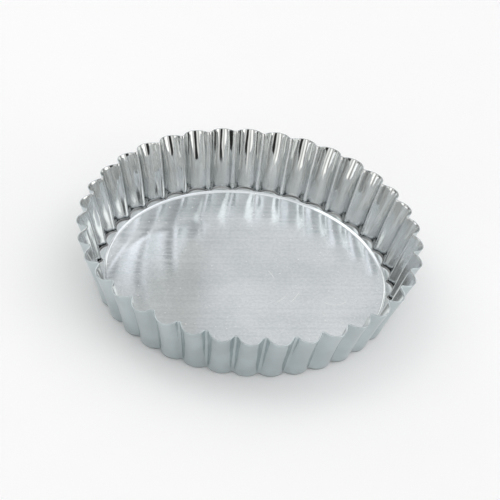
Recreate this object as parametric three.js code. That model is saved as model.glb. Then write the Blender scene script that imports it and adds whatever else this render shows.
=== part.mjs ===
// A fluted tart mould with a loose base, pressed from tinplate. Millimetres, +Z up.
// The ring stands on a narrow inward lip, and the base is a disc that lies loose on that lip,
// so that a baked tart is pushed up out of the ring on the base.
// The origin is the centre of the lip's underside, on the surface that the mould stands on.
import * as THREE from "three";

// Ring: diameters are taken outside, across two opposite flute crests
const RIM_DIAMETER = 120;
const FOOT_DIAMETER = 103.8; // where the wall would meet the lip if the bend were sharp
const RING_HEIGHT = 21.6; // at the ridges
const RING_SHEET = 0.4;
const FLUTE_COUNT = 36;
const RIM_FLUTE_DEPTH = 3.3; // from an outward crest in to a ridge
const FOOT_FLUTE_DEPTH = 1.7;
const RIDGE_SHARE = 0.18; // of a flute's width that its inward ridge takes, and the crest has the rest
const FLUTE_ARC = THREE.MathUtils.degToRad(46); // how far the flute's outline turns from a ridge to the flank
const RIM_CREST_DROP = 0.95; // how much lower the rim is at the crests, where the blank was drawn out more
const BEND_RADIUS = 1.2; // between the lip and the wall, at mid-sheet

// Loose base
const BASE_SHEET = 0.5;
const BASE_LIP_OVERLAP = 4; // how far the base reaches over the lip
const BASE_EDGE_CLEARANCE = 0.2; // from the base's edge to the start of the ring's bend at the ridges
const BASE_SEAT_CLEARANCE = 0.1; // from the lip up to the base's underside
const BASE_EDGE_BEND_RADIUS = 2; // of the turned-up edge, at mid-sheet
const BASE_EDGE_TURN = THREE.MathUtils.degToRad(40); // how far the edge is turned up

// Smoothness of the facets
const RIDGE_STEPS = 2; // from the middle of a ridge to the flank
const CREST_STEPS = 4; // from the flank to the middle of a crest
const RING_BEND_STEPS = 3;
const BASE_EDGE_STEPS = 4;
const BASE_TURN_STEPS = 144;
const ANGLE_NUDGE = 1e-4; // radians, to measure how the sheet runs around the ring

// Mid-sheet places that follow from the sizes above
const FULL_TURN = 2 * Math.PI;
const UP = new THREE.Vector3(0, 0, 1);
const LIP_MID_HEIGHT = RING_SHEET / 2;
const RIM_CREST_RADIUS = (RIM_DIAMETER - RING_SHEET) / 2;
const FOOT_CREST_RADIUS = (FOOT_DIAMETER - RING_SHEET) / 2;
const BASE_RADIUS = wallLine(0).bendStartRadius - BASE_EDGE_CLEARANCE;
const LIP_INNER_RADIUS = BASE_RADIUS - BASE_LIP_OVERLAP;
const RING_STATIONS = RING_BEND_STEPS + 3; // the lip's inner edge, both ends of the bend, and the rim

// A flute is drawn in half widths: 0 is the middle of a ridge and 1 the middle of a crest.
// Each of the two is a round arc with its share of the half width, and they meet on the flank.
// How far across an arc reaches from its middle when it has turned by a part of FLUTE_ARC.
function arcReach(share, turned) {
  return (share * Math.sin(turned * FLUTE_ARC)) / Math.sin(FLUTE_ARC);
}

// How far an arc has risen at such a reach, as a part of the flute's depth.
function arcRise(share, reach) {
  const turned = Math.asin((reach / share) * Math.sin(FLUTE_ARC));
  return (share * (1 - Math.cos(turned))) / (1 - Math.cos(FLUTE_ARC));
}

// How far out the wall stands at an angle: 0 on an inward ridge and 1 on an outward crest.
function fluteWave(angle) {
  const flutes = (angle * FLUTE_COUNT) / FULL_TURN;
  const place = 2 * Math.abs(flutes - Math.round(flutes));
  if (place < RIDGE_SHARE) {
    return arcRise(RIDGE_SHARE, place);
  }
  return 1 - arcRise(1 - RIDGE_SHARE, 1 - place);
}

// The angles of the facets' edges around the ring, evenly spaced along each arc.
function fluteAngles() {
  const half = [];
  for (let step = 0; step < RIDGE_STEPS; step++) {
    half.push(arcReach(RIDGE_SHARE, step / RIDGE_STEPS));
  }
  for (let step = CREST_STEPS; step >= 0; step--) {
    half.push(1 - arcReach(1 - RIDGE_SHARE, step / CREST_STEPS));
  }
  const otherHalf = half.slice(1, -1).reverse();
  const places = [...half, ...otherHalf.map((place) => 2 - place)];
  const angles = [];
  for (let flute = 0; flute < FLUTE_COUNT; flute++) {
    angles.push(...places.map((place) => ((flute + place / 2) * FULL_TURN) / FLUTE_COUNT));
  }
  return angles;
}

// The wall's straight line from foot to rim at one place on the flute wave.
function wallLine(wave) {
  const footRadius = FOOT_CREST_RADIUS - FOOT_FLUTE_DEPTH * (1 - wave);
  const rimRadius = RIM_CREST_RADIUS - RIM_FLUTE_DEPTH * (1 - wave);
  const rimHeight = RING_HEIGHT - RIM_CREST_DROP * wave;
  const lean = Math.atan2(rimHeight - LIP_MID_HEIGHT, rimRadius - footRadius);
  const bendStartRadius = footRadius - BEND_RADIUS * Math.tan(lean / 2);
  return { rimRadius, rimHeight, lean, bendStartRadius };
}

// The mid-sheet line at one angle, from the lip's inner edge through the bend and up to the rim.
// Each station has the lean of the line there, from level.
function ringStations(angle) {
  const wall = wallLine(fluteWave(angle));
  const stations = [{ radius: LIP_INNER_RADIUS, height: LIP_MID_HEIGHT, lean: 0 }];
  for (let step = 0; step <= RING_BEND_STEPS; step++) {
    const lean = (wall.lean * step) / RING_BEND_STEPS;
    stations.push({
      radius: wall.bendStartRadius + BEND_RADIUS * Math.sin(lean),
      height: LIP_MID_HEIGHT + BEND_RADIUS * (1 - Math.cos(lean)),
      lean,
    });
  }
  stations.push({ radius: wall.rimRadius, height: wall.rimHeight, lean: wall.lean });
  return stations;
}

// A point on a face of the ring's sheet: half a sheet in from mid-sheet, or out with side -1.
function ringFacePoint(angle, station, side) {
  const here = ringStations(angle)[station];
  const ahead = ringStations(angle + ANGLE_NUDGE)[station];
  const behind = ringStations(angle - ANGLE_NUDGE)[station];
  const along = new THREE.Vector3(Math.cos(here.lean), 0, Math.sin(here.lean));
  const around = new THREE.Vector3(
    (ahead.radius - behind.radius) / (2 * ANGLE_NUDGE),
    here.radius,
    (ahead.height - behind.height) / (2 * ANGLE_NUDGE),
  );
  const inward = along.cross(around).normalize();
  const point = new THREE.Vector3(here.radius, 0, here.height);
  point.addScaledVector(inward, (side * RING_SHEET) / 2);
  return point.applyAxisAngle(UP, angle);
}

// The ring's section is a closed loop: up the inside face to the rim, and down the outside face.
function ringLoopPoint(angle, step) {
  if (step < RING_STATIONS) {
    return ringFacePoint(angle, step, 1);
  }
  return ringFacePoint(angle, 2 * RING_STATIONS - 1 - step, -1);
}

// One closed skin through a loop of points that is carried all the way round.
function loopSkin(pointAt, angles, loopSteps) {
  const positions = [];
  const triangles = [];
  for (let turn = 0; turn < angles.length; turn++) {
    for (let step = 0; step < loopSteps; step++) {
      positions.push(...pointAt(angles[turn], step));
      const corner = (i, j) => ((turn + i) % angles.length) * loopSteps + ((step + j) % loopSteps);
      triangles.push(corner(0, 0), corner(0, 1), corner(1, 1));
      triangles.push(corner(0, 0), corner(1, 1), corner(1, 0));
    }
  }
  const geometry = new THREE.BufferGeometry();
  geometry.setAttribute("position", new THREE.Float32BufferAttribute(positions, 3));
  geometry.setIndex(triangles);
  geometry.computeVertexNormals();
  return geometry;
}

// The base's section, from the axis out along the underside, round the edge and back along the top.
function baseProfile() {
  const bottomBend = BASE_EDGE_BEND_RADIUS + BASE_SHEET / 2;
  const topBend = BASE_EDGE_BEND_RADIUS - BASE_SHEET / 2;
  const flatRadius = BASE_RADIUS - bottomBend * Math.sin(BASE_EDGE_TURN);
  const edgePoint = (bend, step) => {
    const lean = (BASE_EDGE_TURN * step) / BASE_EDGE_STEPS;
    return new THREE.Vector2(flatRadius + bend * Math.sin(lean), bottomBend - bend * Math.cos(lean));
  };
  const profile = [new THREE.Vector2(0, 0)];
  for (let step = 0; step <= BASE_EDGE_STEPS; step++) {
    profile.push(edgePoint(bottomBend, step));
  }
  for (let step = BASE_EDGE_STEPS; step >= 0; step--) {
    profile.push(edgePoint(topBend, step));
  }
  profile.push(new THREE.Vector2(0, BASE_SHEET));
  return profile;
}

function flutedRing() {
  const geometry = loopSkin(ringLoopPoint, fluteAngles(), 2 * RING_STATIONS);
  const tinplate = new THREE.MeshStandardMaterial({ color: 0xc4c8ca, roughness: 0.2, metalness: 1 });
  const ring = new THREE.Mesh(geometry, tinplate);
  ring.name = "fluted_ring";
  return ring;
}

function looseBase() {
  const geometry = new THREE.LatheGeometry(baseProfile(), BASE_TURN_STEPS);
  geometry.rotateX(Math.PI / 2);
  const tinplate = new THREE.MeshStandardMaterial({ color: 0xcdd1d3, roughness: 0.3, metalness: 1 });
  const base = new THREE.Mesh(geometry, tinplate);
  base.name = "loose_base";
  base.position.z = RING_SHEET + BASE_SEAT_CLEARANCE;
  return base;
}

const tartMould = new THREE.Group();
tartMould.name = "tart_mould";
tartMould.add(flutedRing(), looseBase());

export default tartMould;
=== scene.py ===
"""Looks of a fluted tart mould: a bright tinplate ring and its loose base on a pale studio floor."""

import math

import bpy
import numpy as np
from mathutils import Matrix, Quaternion, Vector


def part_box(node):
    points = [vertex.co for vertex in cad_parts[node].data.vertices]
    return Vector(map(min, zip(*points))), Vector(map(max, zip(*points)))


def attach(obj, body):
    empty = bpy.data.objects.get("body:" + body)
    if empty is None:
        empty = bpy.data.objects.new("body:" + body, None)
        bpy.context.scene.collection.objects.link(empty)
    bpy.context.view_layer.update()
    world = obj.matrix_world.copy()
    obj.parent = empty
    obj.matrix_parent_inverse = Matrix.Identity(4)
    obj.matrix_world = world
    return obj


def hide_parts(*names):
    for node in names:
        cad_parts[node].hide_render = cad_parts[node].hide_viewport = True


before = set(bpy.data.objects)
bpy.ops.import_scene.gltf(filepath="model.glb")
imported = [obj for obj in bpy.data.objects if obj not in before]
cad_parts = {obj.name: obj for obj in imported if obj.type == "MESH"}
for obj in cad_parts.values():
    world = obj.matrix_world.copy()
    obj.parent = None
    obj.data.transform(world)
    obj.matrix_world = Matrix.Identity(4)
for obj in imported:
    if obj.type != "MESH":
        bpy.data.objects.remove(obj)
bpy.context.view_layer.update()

MM = 0.001
FULL_TURN = 2 * math.pi

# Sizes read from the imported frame, in metres
_, ring_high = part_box("fluted_ring")
base_low, base_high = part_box("loose_base")
ring_points = np.array([v.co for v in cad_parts["fluted_ring"].data.vertices])
ring_radii = np.hypot(ring_points[:, 0], ring_points[:, 1])
RING_RADIUS = ring_radii.max()
LIP_INNER_RADIUS = ring_radii.min()
RING_TOP = ring_high.z
BASE_RADIUS = base_high.x
BASE_BOTTOM = base_low.z

# The ring's pressed sheet, as in the solids
FLUTE_COUNT = 36
RING_SHEET = 0.4 * MM
FOOT_CREST_RADIUS = 51.7 * MM
RIM_FLUTE_DEPTH = 3.3 * MM
FOOT_FLUTE_DEPTH = 1.7 * MM
RIDGE_SHARE = 0.18
FLUTE_ARC = math.radians(46)
RIM_CREST_DROP = 0.95 * MM
BEND_RADIUS = 1.2 * MM

# The base's sheet, as in the solids
BASE_SHEET = 0.5 * MM
BASE_EDGE_BEND_RADIUS = 2 * MM
BASE_EDGE_TURN = math.radians(40)

# Unevenness that pressing leaves: waves of (count around the ring, size, phase)
FLUTE_WANDER = [(5, 0.0016, 0.4), (11, 0.0018, 2.1), (17, 0.0020, 4.0)]
DEPTH_LOSS = [(7, 0.02, 1.0), (13, 0.02, 3.3), (19, 0.025, 5.2)]
ROUNDNESS_LOSS = [(2, 0.10 * MM, 1.2), (3, 0.06 * MM, 0.5), (7, 0.04 * MM, 2.6)]
WALL_BOW = 0.28 * MM
# Dents in the wall: waves of (count around the ring, waves up the wall, size, phase)
WALL_DENTS = [(29, 0.7, 0.05 * MM, 0.3), (47, -1.1, 0.04 * MM, 1.9), (83, 1.6, 0.02 * MM, 4.4)]

# Smoothness of the meshes
RIDGE_STEPS = 6
CREST_STEPS = 10
LIP_STEPS = 4
RING_BEND_STEPS = 8
WALL_STEPS = 20
CAP_STEPS = 6
BASE_TURN_STEPS = 288
BASE_FLAT_STEPS = 32
BASE_EDGE_STEPS = 10

# Camera, found from the rim, the flutes and the base's edge
CAMERA_DISTANCE = 1.2
CAMERA_AZIMUTH = math.radians(0.43)
CAMERA_ELEVATION = math.radians(38.68)
CAMERA_ROLL = math.radians(7.16)
IMAGE_SIZE = 500
PIXELS_PER_METRE = 2896
ORIGIN_PIXEL = (244.7, 279.7)
SENSOR_WIDTH = 36

# The ring's tinplate: reflected colours
TIN_GREY = (0.64, 0.66, 0.66, 1)
TIN_BRIGHT = (0.72, 0.74, 0.74, 1)
# Painted shade: the darker colour in the corner at the foot
TIN_CORNER_SHADE = (0.42, 0.43, 0.43, 1)
# Worn tin on the ridges inside, made lighter as a painted highlight
TIN_WORN_HIGHLIGHT = (0.9, 0.915, 0.92, 1)
# Painted shade: the tint that darkens the ring's outside face
OUTSIDE_SHADE_TINT = (0.83, 0.89, 0.91)
# Its noises: blots a metre, around and along the sheet or along x, y and z, and how far they stand up
DRAWING_LINES = (900, 25, 0)
DRAWING_LINE_RELIEF = 0.014 * MM
DIMPLES = (420, 190, 0)
DIMPLE_RELIEF = 0.045 * MM
RING_CLOUDS = (90, 90, 90)
# Its ranges: two readings of what a mark depends on, and the mark's value at each of the two
BRIGHT_BY_CLOUD = (0.35, 0.65, 0, 1)
# Patchiness of the painted shade in the corner at the foot
CORNER_SHADE_BY_CLOUD = (0.3, 0.6, 0.6, 1)
# Patchiness of the wear and painted highlight on the ridges inside
SCUFFS_AND_HIGHLIGHT_BY_CLOUD = (0.3, 0.55, 0.4, 1)
RING_ROUGHNESS_BY_LINE = (0.3, 0.7, 0.04, 0.10)
DULLNESS_BY_HEIGHT = (3 * MM, 13 * MM, 0.12, 0)
ABOVE_LIP_BY_HEIGHT = (0.41 * MM, 0.47 * MM, 0, 1)
BELOW_WALL_BY_HEIGHT = (0.7 * MM, 1.1 * MM, 1, 0)
HALF_FLUTE = 0.5
RIDGE_BY_FLUTE = (0, 0.065, 1, 0)
INSIDE_BY_FACING = (-10 * MM, 10 * MM, 1, 0)
WORN_ROUGHNESS = 0.3

# The base's tinplate: reflected colours
BASE_DULL = (0.67, 0.715, 0.74, 1)
BASE_BRIGHT = (0.89, 0.922, 0.94, 1)
MARK_COLOUR = (0.95, 0.96, 0.965, 1)
# Its noises and ranges, as for the ring. The rolling lines run at an angle to the x axis
ROLLING_ANGLE = math.radians(11.4)
ROLLING_LINES = (14, 750, 0)
ROLLING_LINE_RELIEF = 0.004 * MM
BASE_CLOUDS = (42, 42, 42)
GRAIN = (900, 900, 900)
SHADE_BY_LINE = (0.3, 0.7, 0, 0.2)
SHADE_BY_GRAIN = (0.35, 0.65, 0, 0.25)
SHADE_BY_CLOUD = (0.32, 0.68, 0, 0.5)
BASE_ROUGHNESS_BY_LINE = (0.3, 0.7, 0.11, 0.17)
ROUGHNESS_BY_MARK = (0, 1, 0, 0.3)
MARK_RELIEF = -0.005 * MM
# A shallow dish in the left of the base, in the shading only: where it is and how the sheet leans there
DISH_BY_X = (-4 * MM, -28 * MM, 0, 1)
DISH_CENTRE = (-2 * MM, -16 * MM, 0)
DISH_BY_DISTANCE = (50 * MM, 44 * MM, 0, 1)
DISH_LEAN = (-0.2435, 0.15, 0)
DISH_LEAN_BY_X = (-7.7, 0, 0)
DISH_LEAN_BY_Y = (1.8, -1.8, 0)
# Scratches on the base: centre and radius of the arc, and the degrees of its middle and half its spread
SCRATCHES = [
    ((30.9 * MM, -3.5 * MM, 0), 5.3 * MM, 283, 62),
    ((0, 0, 0), 19.5 * MM, -22, 12),
    ((0, 0, 0), 16.4 * MM, -36, 10),
    ((-0.9 * MM, -3.0 * MM, 0), 11.8 * MM, 34, 11),
]
SCRATCH_WIDTH = 0.3 * MM
SCRATCH_FULL_SHARE = 0.7  # of the spread, beyond which a scratch fades out
# Specks on the base: cells a metre, radius and the share of cells that has one
SPECKS = [(280, 0.30 * MM, 0.5), (170, 0.42 * MM, 0.3)]

# Floor paper
FLOOR_REACH = 8
PAPER_DARK = (0.98, 0.98, 0.98, 1)
PAPER_LIGHT = (0.995, 0.995, 0.995, 1)
PAPER_FIBRES = (60, 60, 60)
PAPER_ROUGHNESS = 0.9
PAPER_GLOW = 0.06

# Studio light: radiance of the dome by nearness to its brightest place
DOME_CENTRE = (0, 0.3, 0.954)
DOME_LEVELS = [(0, 0.45), (0.5, 0.5), (0.74, 0.6), (0.826, 0.72), (0.9, 0.84), (0.954, 0.95), (1, 1.0)]
# Light and dark panels round the horizon: radiance by degrees from the back over the right
PANELS = [
    (0, 0.55), (17, 0.55), (24, 1.20), (36, 1.20), (42, 0.30), (57, 0.30), (63, 1.00), (69, 0.25),
    (82, 0.25), (100, 1.60), (122, 1.60), (130, 0.50), (138, 1.00), (146, 0.03), (166, 0.03), (172, 1.05),
    (180, 1.00), (190, 0.45), (199, 1.40), (212, 1.40), (220, 0.20), (229, 0.80), (238, 0.80), (244, 0.25),
    (268, 0.20), (296, 0.35), (320, 1.20), (336, 1.20), (344, 0.55),
]
PANELS_BY_HEIGHT = (0.44, 0.52, 1, 0)
PANEL_TINT = (1.05, 1.04, 1.01)
# Long softboxes: sines of the elevation of the top and of the bottom by degrees, and the radiance
BACK_STRIP = (
    [(8, 0), (16, 0.52), (38, 0.74), (54, 0.83), (85, 0.945), (112, 0.95), (118, 0)],
    [(0, 0), (96, 0.50), (116, 0.76)],
    (1.22, 1.22, 1.25, 1),
)
RIGHT_STRIP = (
    [(108, 0), (114, 0.95), (140, 0.95), (175, 0.935), (190, 0.90), (206, 0.86), (224, 0.70)],
    [(96, 0.47), (116, 0.73), (224, 0.73)],
    (1.52, 1.5, 1.55, 1),
)
FRONT_STRIP = ([(98, 0), (104, 0.64), (172, 0.64), (178, 0)], [(0, 0.47)], (0.95, 0.94, 0.95, 1))
LOW_STRIP = ([(230, 0), (234, 0.18), (258, 0.18), (262, 0)], [(0, 0)], (1.4, 1.4, 1.4, 1))
STRIP_EDGE = 0.06
# The softbox at the left, turned from the back over the right and raised from the floor
SOFTBOX_TURNED = math.radians(-64)
SOFTBOX_ELEVATION = math.radians(52)
SOFTBOX_DISTANCE = 2
SOFTBOX_SIZE = (1.5, 1.3)
SOFTBOX_RADIANCE = 0.75


def grid_mesh(name, points, uvs):
    """A closed quad skin: points[i, k] runs around the axis in i and round the sheet's section in k."""
    turns, loop = points.shape[:2]
    i, k = np.meshgrid(np.arange(turns), np.arange(loop), indexing="ij")
    corners = [(0, 0), (0, 1), (1, 1), (1, 0)]
    faces = np.stack([((i + a) % turns) * loop + (k + b) % loop for a, b in corners], -1)
    mesh = bpy.data.meshes.new(name)
    mesh.from_pydata(points.reshape(-1, 3).tolist(), [], faces.reshape(-1, 4).tolist())
    layer = mesh.uv_layers.new(name="sheet")
    corner_uvs = np.stack([uvs[i + a, k + b] for a, b in corners], -2)
    layer.data.foreach_set("uv", corner_uvs.astype(np.float32).ravel())
    mesh.shade_smooth()
    return mesh


def waves(angle, terms):
    """Waves around the ring that add and take away alike."""
    return sum(size * np.sin(count * angle + phase) for count, size, phase in terms)


def losses(angle, terms):
    """Waves that only take away, from 0 to twice each size."""
    return sum(size * (1 + np.sin(count * angle + phase)) for count, size, phase in terms)


def arc_reach(share, turned):
    """How far across an arc of a flute reaches when it has turned by a part of FLUTE_ARC."""
    return share * np.sin(turned * FLUTE_ARC) / math.sin(FLUTE_ARC)


def arc_rise(share, reach):
    """How far an arc of a flute has risen at such a reach, as a part of the flute's depth."""
    turned = np.arcsin(np.clip(reach / share, 0, 1) * math.sin(FLUTE_ARC))
    return share * (1 - np.cos(turned)) / (1 - math.cos(FLUTE_ARC))


def flute_wave(angle):
    """How far out the wall stands: 0 on an inward ridge and 1 on an outward crest."""
    flutes = angle * FLUTE_COUNT / FULL_TURN
    place = 2 * np.abs(flutes - np.round(flutes))
    ridge = arc_rise(RIDGE_SHARE, place)
    crest = 1 - arc_rise(1 - RIDGE_SHARE, 1 - place)
    return np.where(place < RIDGE_SHARE, ridge, crest)


def flute_angles():
    """Angles around the ring, evenly spaced along each arc of the flutes."""
    ridge = arc_reach(RIDGE_SHARE, np.linspace(0, 1, RIDGE_STEPS, endpoint=False))
    crest = 1 - arc_reach(1 - RIDGE_SHARE, np.linspace(1, 0, CREST_STEPS + 1))
    half = np.concatenate([ridge, crest])
    places = np.concatenate([half, 2 - half[-2:0:-1]])
    flutes = np.arange(FLUTE_COUNT)[:, None] + places / 2
    return flutes.ravel() * FULL_TURN / FLUTE_COUNT


def ring_mid_surface(angle):
    """Mid-sheet points [angle, station] from the lip's inner edge through the bend up to the rim."""
    half = RING_SHEET / 2
    wave = flute_wave(angle)
    rim_depth = RIM_FLUTE_DEPTH * (1 - losses(angle, DEPTH_LOSS))
    foot = FOOT_CREST_RADIUS - FOOT_FLUTE_DEPTH * (1 - wave)
    rim = RING_RADIUS - half - losses(angle, ROUNDNESS_LOSS) - rim_depth * (1 - wave)
    rim_height = RING_TOP - half - RIM_CREST_DROP * wave
    lean = np.arctan2(rim_height - half, rim - foot)
    bend_start = foot - BEND_RADIUS * np.tan(lean / 2)
    radii, heights = [], []
    for share in np.linspace(0, 1, LIP_STEPS, endpoint=False):
        radii.append(LIP_INNER_RADIUS + half + (bend_start - LIP_INNER_RADIUS - half) * share)
        heights.append(np.full_like(angle, half))
    for share in np.linspace(0, 1, RING_BEND_STEPS + 1):
        radii.append(bend_start + BEND_RADIUS * np.sin(lean * share))
        heights.append(half + BEND_RADIUS * (1 - np.cos(lean * share)))
    bend_radius, bend_height = radii[-1], heights[-1]
    for share in np.linspace(0, 1, WALL_STEPS + 1)[1:]:
        dents = sum(s * np.sin(n * angle + FULL_TURN * up * share + p) for n, up, s, p in WALL_DENTS)
        bow = 4 * WALL_BOW * share * (1 - share)
        radii.append(bend_radius + (rim - bend_radius) * share - bow + dents * math.sin(math.pi * share))
        heights.append(bend_height + (rim_height - bend_height) * share)
    radius, height = np.stack(radii, 1), np.stack(heights, 1)
    rise = np.clip(height / RING_TOP, 0, 1)
    turned = angle[:, None] + waves(angle, FLUTE_WANDER)[:, None] * rise
    return np.stack([radius * np.cos(turned), radius * np.sin(turned), height], -1)


def unit(vectors):
    return vectors / np.linalg.norm(vectors, axis=-1, keepdims=True)


def round_edge(middle, inward, along, half):
    """Points round the edge of a sheet, between its two faces, for half of its thickness."""
    turns = np.linspace(0, math.pi, CAP_STEPS + 1)[1:-1]
    return np.stack([middle + half * (math.cos(t) * inward + math.sin(t) * along) for t in turns], 1)


def thicken(mid, thickness):
    """The closed loop round a sheet: its inside face, a round edge, its outside face, a round edge."""
    around = np.roll(mid, -1, 0) - np.roll(mid, 1, 0)
    along = unit(np.gradient(mid, axis=1))
    inward = unit(np.cross(along, around))
    half = thickness / 2
    inside = mid + half * inward
    outside = (mid - half * inward)[:, ::-1]
    rim_cap = round_edge(mid[:, -1], inward[:, -1], along[:, -1], half)
    lip_cap = round_edge(mid[:, 0], inward[:, 0], along[:, 0], -half)
    return np.concatenate([inside, rim_cap, outside, lip_cap], 1)


def sheet_uvs(points):
    """Lengths in metres around the ring and along the section, with the closing row and column added."""
    turns = points.shape[0]
    closed = np.concatenate([points, points[:, :1]], 1)
    steps = np.linalg.norm(np.diff(closed, axis=1), axis=-1).mean(0)
    along = np.concatenate([[0], np.cumsum(steps)])
    around = np.linspace(0, FULL_TURN * RING_RADIUS, turns + 1)
    return np.stack(np.meshgrid(around, along, indexing="ij"), -1)


def make_ring():
    points = thicken(ring_mid_surface(flute_angles()), RING_SHEET)
    mesh = grid_mesh("ring_sheet", points, sheet_uvs(points))
    return add_piece(mesh, "ring", "fluted_ring")


def base_section():
    """Radius and height of the base's section, from the middle of the top out to the edge and back below."""
    bottom_bend = BASE_EDGE_BEND_RADIUS + BASE_SHEET / 2
    top_bend = BASE_EDGE_BEND_RADIUS - BASE_SHEET / 2
    half = BASE_SHEET / 2
    flat_radius = BASE_RADIUS - bottom_bend * math.sin(BASE_EDGE_TURN)
    leans = np.linspace(0, BASE_EDGE_TURN, BASE_EDGE_STEPS + 1)
    flat = np.linspace(0, flat_radius, BASE_FLAT_STEPS + 1)[1:-1]

    def bent(bend, lean):
        return flat_radius + bend * math.sin(lean), bottom_bend - bend * math.cos(lean)

    section = [(r, BASE_SHEET) for r in flat]
    section += [bent(top_bend, lean) for lean in leans]
    edge_radius, edge_height = bent(BASE_EDGE_BEND_RADIUS, BASE_EDGE_TURN)
    for turn in np.linspace(0, math.pi, CAP_STEPS + 1)[1:-1]:
        lean = BASE_EDGE_TURN + math.pi / 2 - turn
        section.append((edge_radius + half * math.cos(lean), edge_height + half * math.sin(lean)))
    section += [bent(bottom_bend, lean) for lean in leans[::-1]]
    section += [(r, 0) for r in flat[::-1]]
    return np.array(section)


def make_base():
    section = base_section()
    angle = np.linspace(0, FULL_TURN, BASE_TURN_STEPS, endpoint=False)
    radius = np.broadcast_to(section[:, 0], (len(angle), len(section)))
    height = np.broadcast_to(section[:, 1] + BASE_BOTTOM, radius.shape)
    x, y = radius * np.cos(angle)[:, None], radius * np.sin(angle)[:, None]
    rings = np.stack([x, y, height], -1)
    turns, loop = rings.shape[:2]
    points = rings.reshape(-1, 3).tolist() + [(0, 0, BASE_BOTTOM + BASE_SHEET), (0, 0, BASE_BOTTOM)]
    top, bottom = turns * loop, turns * loop + 1
    faces = []
    for i in range(turns):
        here, after = i * loop, ((i + 1) % turns) * loop
        faces.append((top, here, after))
        faces += [(here + k, here + k + 1, after + k + 1, after + k) for k in range(loop - 1)]
        faces.append((bottom, after + loop - 1, here + loop - 1))
    mesh = bpy.data.meshes.new("base_sheet")
    mesh.from_pydata(points, [], faces)
    mesh.shade_smooth()
    return add_piece(mesh, "base", "loose_base")


def add_piece(mesh, body, node):
    piece = bpy.data.objects.new(mesh.name, mesh)
    bpy.context.scene.collection.objects.link(piece)
    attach(piece, body)
    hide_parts(node)
    return piece


def new_material(name):
    """A material with its node tree and its shader."""
    material = bpy.data.materials.new(name)
    material.use_nodes = True
    return material, material.node_tree, material.node_tree.nodes["Principled BSDF"]


def add_node(tree, kind, inputs=None, **settings):
    """A shader node with its settings; each input is a value or another node's output."""
    node = tree.nodes.new("ShaderNode" + kind)
    for name, value in settings.items():
        setattr(node, name, value)
    for name, value in (inputs or {}).items():
        if isinstance(value, bpy.types.NodeSocket):
            tree.links.new(value, node.inputs[name])
        else:
            node.inputs[name].default_value = value
    return node


def add_ramp(tree, factor, stops):
    """A grey ramp through stops of (place, level)."""
    node = add_node(tree, "ValToRGB", {"Fac": factor})
    elements = node.color_ramp.elements
    while len(elements) < len(stops):
        elements.new(0.5)
    while len(elements) > len(stops):
        elements.remove(elements[-1])
    for element, (place, level) in zip(elements, stops):
        element.position = place
        element.color = (level, level, level, 1)
    return node.outputs["Color"]


def calculate(tree, operation, first, second):
    return add_node(tree, "Math", {0: first, 1: second}, operation=operation).outputs["Value"]


def combine(tree, operation, first, second=(0, 0, 0)):
    """The vector that a step makes of one or two vectors."""
    return add_node(tree, "VectorMath", {0: first, 1: second}, operation=operation).outputs["Vector"]


def measure(tree, operation, first, second=(0, 0, 0)):
    """The number that a step reads from one or two vectors."""
    return add_node(tree, "VectorMath", {0: first, 1: second}, operation=operation).outputs["Value"]


def stretch(tree, vector, amount):
    return add_node(tree, "VectorMath", {0: vector, "Scale": amount}, operation="SCALE").outputs["Vector"]


def split(tree, vector):
    return add_node(tree, "SeparateXYZ", {"Vector": vector}).outputs


def noise(tree, vector, scales, detail):
    """Noise from 0 to 1 with so many blots a metre along each axis of the vector."""
    inputs = {"Vector": combine(tree, "MULTIPLY", vector, scales), "Scale": 1, "Detail": detail}
    return add_node(tree, "TexNoise", inputs).outputs["Fac"]


def remap(tree, value, start, end, at_start, at_end):
    """A value that goes smoothly from at_start to at_end while the given one goes from start to end."""
    inputs = {"Value": value, "From Min": start, "From Max": end, "To Min": at_start, "To Max": at_end}
    return add_node(tree, "MapRange", inputs, interpolation_type="SMOOTHSTEP").outputs["Result"]


def blend(tree, factor, first, second):
    """A colour between two others."""
    inputs = {"Factor": factor, "A": first, "B": second}
    return add_node(tree, "Mix", inputs, data_type="RGBA").outputs["Result"]


def bump(tree, height, distance, normal=None):
    inputs = {"Height": height, "Distance": distance}
    if normal is not None:
        inputs["Normal"] = normal
    return add_node(tree, "Bump", inputs).outputs["Normal"]


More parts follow.
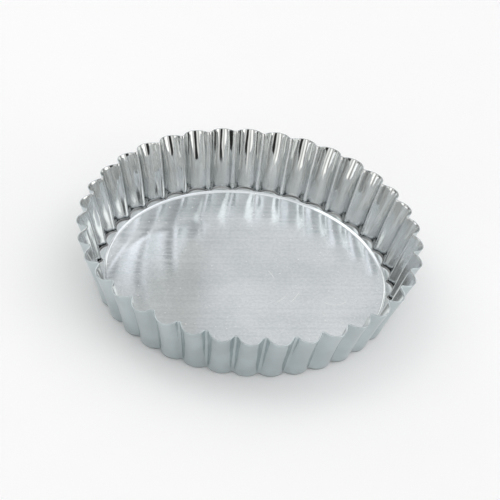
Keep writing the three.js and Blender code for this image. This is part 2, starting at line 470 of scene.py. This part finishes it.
def ring_tin():
    """Bright tinplate with drawing lines up the wall and small dimples.

    It is darker outside by painted shade, duller towards the foot, worn on the ridges inside with a painted
    highlight there, and has patchy painted shade in the corner at the foot.
    """
    material, tree, shader = new_material("ring_tin")
    sheet = add_node(tree, "UVMap", uv_map="sheet").outputs["UV"]
    place = add_node(tree, "TexCoord").outputs["Object"]
    height = split(tree, place)["Z"]
    lines = noise(tree, sheet, DRAWING_LINES, detail=3)
    dimples = noise(tree, sheet, DIMPLES, detail=2)
    clouds = noise(tree, place, RING_CLOUDS, detail=2)

    above_lip = remap(tree, height, *ABOVE_LIP_BY_HEIGHT)
    below_wall = remap(tree, height, *BELOW_WALL_BY_HEIGHT)
    corner = calculate(tree, "MULTIPLY", above_lip, below_wall)
    # Painted shade in the corner at the foot, patchy by the clouds, and rougher there
    corner_shade = calculate(tree, "MULTIPLY", corner, remap(tree, clouds, *CORNER_SHADE_BY_CLOUD))

    flutes_a_metre = FLUTE_COUNT / (FULL_TURN * RING_RADIUS)
    flutes = calculate(tree, "MULTIPLY", split(tree, sheet)["X"], flutes_a_metre)
    from_ridge = calculate(tree, "PINGPONG", flutes, HALF_FLUTE)
    ridge = remap(tree, from_ridge, *RIDGE_BY_FLUTE)
    normal = add_node(tree, "NewGeometry").outputs["Normal"]
    inside = remap(tree, measure(tree, "DOT_PRODUCT", place, normal), *INSIDE_BY_FACING)
    # Wear on the ridges inside, partly real scuffing and partly a painted highlight, kept to the inside face
    scuffs_and_highlight = calculate(tree, "MULTIPLY", inside, remap(tree, clouds, *SCUFFS_AND_HIGHLIGHT_BY_CLOUD))
    wear_and_highlight = calculate(tree, "MULTIPLY", ridge, scuffs_and_highlight)

    clouded_tin = blend(tree, remap(tree, clouds, *BRIGHT_BY_CLOUD), TIN_GREY, TIN_BRIGHT)
    # Painted shade: the outside face is darkened
    outside_shade = combine(tree, "MULTIPLY", clouded_tin, OUTSIDE_SHADE_TINT)
    bright = blend(tree, wear_and_highlight, blend(tree, inside, outside_shade, clouded_tin), TIN_WORN_HIGHLIGHT)
    drawn = remap(tree, lines, *RING_ROUGHNESS_BY_LINE)
    duller = calculate(tree, "ADD", drawn, remap(tree, height, *DULLNESS_BY_HEIGHT))
    rougher = calculate(tree, "MAXIMUM", calculate(tree, "MULTIPLY", wear_and_highlight, WORN_ROUGHNESS), duller)
    relief = bump(tree, lines, DRAWING_LINE_RELIEF, bump(tree, dimples, DIMPLE_RELIEF))

    shader.inputs["Metallic"].default_value = 1
    tree.links.new(blend(tree, corner_shade, bright, TIN_CORNER_SHADE), shader.inputs["Base Color"])
    tree.links.new(calculate(tree, "MAXIMUM", rougher, corner_shade), shader.inputs["Roughness"])
    tree.links.new(relief, shader.inputs["Normal"])
    return material


def arc_mark(tree, place, centre, radius, middle, spread):
    """1 on a scratch along an arc of a circle, and 0 away from it. Its middle and spread are in degrees."""
    offset = combine(tree, "SUBTRACT", place, centre)
    level = combine(tree, "MULTIPLY", offset, (1, 1, 0))
    length = measure(tree, "LENGTH", level)
    away = calculate(tree, "ABSOLUTE", calculate(tree, "SUBTRACT", length, radius), 0)
    near = remap(tree, away, 0, SCRATCH_WIDTH, 1, 0)
    aim = (math.cos(math.radians(middle)), math.sin(math.radians(middle)), 0)
    along = measure(tree, "DOT_PRODUCT", combine(tree, "NORMALIZE", level), aim)
    end = math.cos(math.radians(spread))
    full = math.cos(math.radians(spread * SCRATCH_FULL_SHARE))
    return calculate(tree, "MULTIPLY", near, remap(tree, along, end, full, 0, 1))


def base_marks(tree, place):
    """1 on scratches and specks of the base, and 0 between them."""
    marks = None
    for centre, radius, middle, spread in SCRATCHES:
        mark = arc_mark(tree, place, centre, radius, middle, spread)
        marks = mark if marks is None else calculate(tree, "MAXIMUM", marks, mark)
    for scale, size, share in SPECKS:
        inputs = {"Vector": place, "Scale": scale}
        cells = add_node(tree, "TexVoronoi", inputs, voronoi_dimensions="2D").outputs
        chosen = remap(tree, split(tree, cells["Color"])["X"], 1 - share, 1, 0, 1)
        speck = remap(tree, cells["Distance"], size * scale / 2, size * scale, 1, 0)
        marks = calculate(tree, "MAXIMUM", marks, calculate(tree, "MULTIPLY", speck, chosen))
    return marks


def dished_normal(tree, place):
    """The base's normal, leaning in the left part as the sheet of a shallow dish would."""
    parts = split(tree, place)
    distance = measure(tree, "DISTANCE", place, DISH_CENTRE)
    at_left = remap(tree, parts["X"], *DISH_BY_X)
    amount = calculate(tree, "MULTIPLY", at_left, remap(tree, distance, *DISH_BY_DISTANCE))
    by_x = stretch(tree, DISH_LEAN_BY_X, parts["X"])
    by_y = stretch(tree, DISH_LEAN_BY_Y, parts["Y"])
    full_lean = combine(tree, "ADD", combine(tree, "ADD", by_x, by_y), DISH_LEAN)
    lean = stretch(tree, full_lean, amount)
    flat = add_node(tree, "NewGeometry").outputs["Normal"]
    return combine(tree, "NORMALIZE", combine(tree, "ADD", flat, lean))


def base_tin():
    """Rolled tinplate, hazy, with fine rolling lines, clouds, specks, a few scratches and a shallow dish."""
    material, tree, shader = new_material("base_tin")
    place = add_node(tree, "TexCoord").outputs["Object"]
    inputs = {"Vector": place, "Angle": -ROLLING_ANGLE}
    rolled = add_node(tree, "VectorRotate", inputs, rotation_type="Z_AXIS").outputs["Vector"]
    lines = noise(tree, rolled, ROLLING_LINES, detail=3)
    clouds = noise(tree, place, BASE_CLOUDS, detail=3)
    grain = noise(tree, place, GRAIN, detail=1)
    marks = base_marks(tree, place)

    fine = calculate(tree, "ADD", remap(tree, lines, *SHADE_BY_LINE), remap(tree, grain, *SHADE_BY_GRAIN))
    shade = calculate(tree, "ADD", remap(tree, clouds, *SHADE_BY_CLOUD), fine)
    plain = blend(tree, shade, BASE_DULL, BASE_BRIGHT)
    smooth = remap(tree, lines, *BASE_ROUGHNESS_BY_LINE)
    rough = calculate(tree, "MAXIMUM", smooth, remap(tree, marks, *ROUGHNESS_BY_MARK))
    rolled_relief = bump(tree, lines, ROLLING_LINE_RELIEF, dished_normal(tree, place))

    shader.inputs["Metallic"].default_value = 1
    tree.links.new(blend(tree, marks, plain, MARK_COLOUR), shader.inputs["Base Color"])
    tree.links.new(rough, shader.inputs["Roughness"])
    tree.links.new(bump(tree, marks, MARK_RELIEF, rolled_relief), shader.inputs["Normal"])
    return material


def make_floor():
    """Pale paper that glows a little where it is seen, directly or mirrored in the metal."""
    corners = [(-1, -1), (1, -1), (1, 1), (-1, 1)]
    mesh = bpy.data.meshes.new("floor")
    mesh.from_pydata([(FLOOR_REACH * x, FLOOR_REACH * y, 0) for x, y in corners], [], [(0, 1, 2, 3)])
    floor = bpy.data.objects.new("floor", mesh)
    bpy.context.scene.collection.objects.link(floor)
    material, tree, shader = new_material("floor_paper")
    fibres = noise(tree, add_node(tree, "TexCoord").outputs["Object"], PAPER_FIBRES, detail=3)
    tree.links.new(blend(tree, fibres, PAPER_DARK, PAPER_LIGHT), shader.inputs["Base Color"])
    shader.inputs["Roughness"].default_value = PAPER_ROUGHNESS
    shader.inputs["Specular IOR Level"].default_value = 0
    rays = add_node(tree, "LightPath").outputs
    seen = calculate(tree, "MAXIMUM", rays["Is Camera Ray"], rays["Is Glossy Ray"])
    shader.inputs["Emission Color"].default_value = PAPER_LIGHT
    tree.links.new(calculate(tree, "MULTIPLY", seen, PAPER_GLOW), shader.inputs["Emission Strength"])
    mesh.materials.append(material)


def make_softbox():
    """The softbox at the left, facing the object."""
    width, height = SOFTBOX_SIZE
    light = bpy.data.lights.new("left_softbox", "AREA")
    light.shape = "RECTANGLE"
    light.size = width
    light.size_y = height
    light.energy = SOFTBOX_RADIANCE * math.pi * width * height
    level = math.cos(SOFTBOX_ELEVATION)
    towards = Vector((
        level * math.sin(SOFTBOX_TURNED),
        level * math.cos(SOFTBOX_TURNED),
        math.sin(SOFTBOX_ELEVATION),
    ))
    softbox = bpy.data.objects.new("left_softbox", light)
    softbox.location = SOFTBOX_DISTANCE * towards
    softbox.rotation_mode = "QUATERNION"
    softbox.rotation_quaternion = (-softbox.location).to_track_quat("-Z", "Y")
    bpy.context.scene.collection.objects.link(softbox)


def strip(tree, place, height, behind, tops, bottoms, radiance):
    """The light behind a long softbox, with the softbox before it."""
    top = add_ramp(tree, place, [(degrees / 360, level) for degrees, level in tops])
    bottom = add_ramp(tree, place, [(degrees / 360, level) for degrees, level in bottoms])
    below = remap(tree, calculate(tree, "SUBTRACT", top, height), 0, STRIP_EDGE, 0, 1)
    above = remap(tree, calculate(tree, "SUBTRACT", height, bottom), 0, STRIP_EDGE, 0, 1)
    return blend(tree, calculate(tree, "MULTIPLY", below, above), behind, radiance)


def make_world():
    """A soft dome, brightest overhead and to the back, with panels round the horizon and long softboxes."""
    world = bpy.data.worlds.new("studio")
    world.use_nodes = True
    tree = world.node_tree
    direction = add_node(tree, "TexCoord").outputs["Generated"]
    parts = split(tree, direction)
    height = parts["Z"]
    turned = calculate(tree, "ARCTAN2", parts["X"], parts["Y"])
    place = calculate(tree, "FLOORED_MODULO", calculate(tree, "DIVIDE", turned, FULL_TURN), 1)
    dome = add_ramp(tree, measure(tree, "DOT_PRODUCT", direction, DOME_CENTRE), DOME_LEVELS)
    grey = add_ramp(tree, place, [(degrees / 360, level) for degrees, level in PANELS])
    panels = combine(tree, "MULTIPLY", grey, PANEL_TINT)
    light = strip(tree, place, height, dome, *BACK_STRIP)
    light = strip(tree, place, height, light, *RIGHT_STRIP)
    light = blend(tree, remap(tree, height, *PANELS_BY_HEIGHT), light, panels)
    light = strip(tree, place, height, light, *FRONT_STRIP)
    light = strip(tree, place, height, light, *LOW_STRIP)
    tree.links.new(light, tree.nodes["Background"].inputs["Color"])
    bpy.context.scene.world = world


def make_camera():
    ground = CAMERA_DISTANCE * math.cos(CAMERA_ELEVATION)
    location = Vector((
        ground * math.sin(CAMERA_AZIMUTH),
        -ground * math.cos(CAMERA_AZIMUTH),
        CAMERA_DISTANCE * math.sin(CAMERA_ELEVATION),
    ))
    roll = Quaternion((0, 0, 1), CAMERA_ROLL)
    facing = (-location).to_track_quat("-Z", "Y") @ roll
    right = (IMAGE_SIZE / 2 - ORIGIN_PIXEL[0]) / PIXELS_PER_METRE
    up = (ORIGIN_PIXEL[1] - IMAGE_SIZE / 2) / PIXELS_PER_METRE
    target = facing @ Vector((right, up, 0))
    data = bpy.data.cameras.new("camera")
    data.sensor_width = SENSOR_WIDTH
    data.lens = PIXELS_PER_METRE * CAMERA_DISTANCE * SENSOR_WIDTH / IMAGE_SIZE
    camera = bpy.data.objects.new("camera", data)
    camera.location = location
    camera.rotation_mode = "QUATERNION"
    camera.rotation_quaternion = (target - location).to_track_quat("-Z", "Y") @ roll
    bpy.context.scene.collection.objects.link(camera)
    bpy.context.scene.camera = camera


make_camera()
make_world()
make_floor()
make_softbox()
ring = make_ring()
ring.data.materials.append(ring_tin())
base = make_base()
base.data.materials.append(base_tin())
bpy.context.scene.view_settings.view_transform = "Standard"
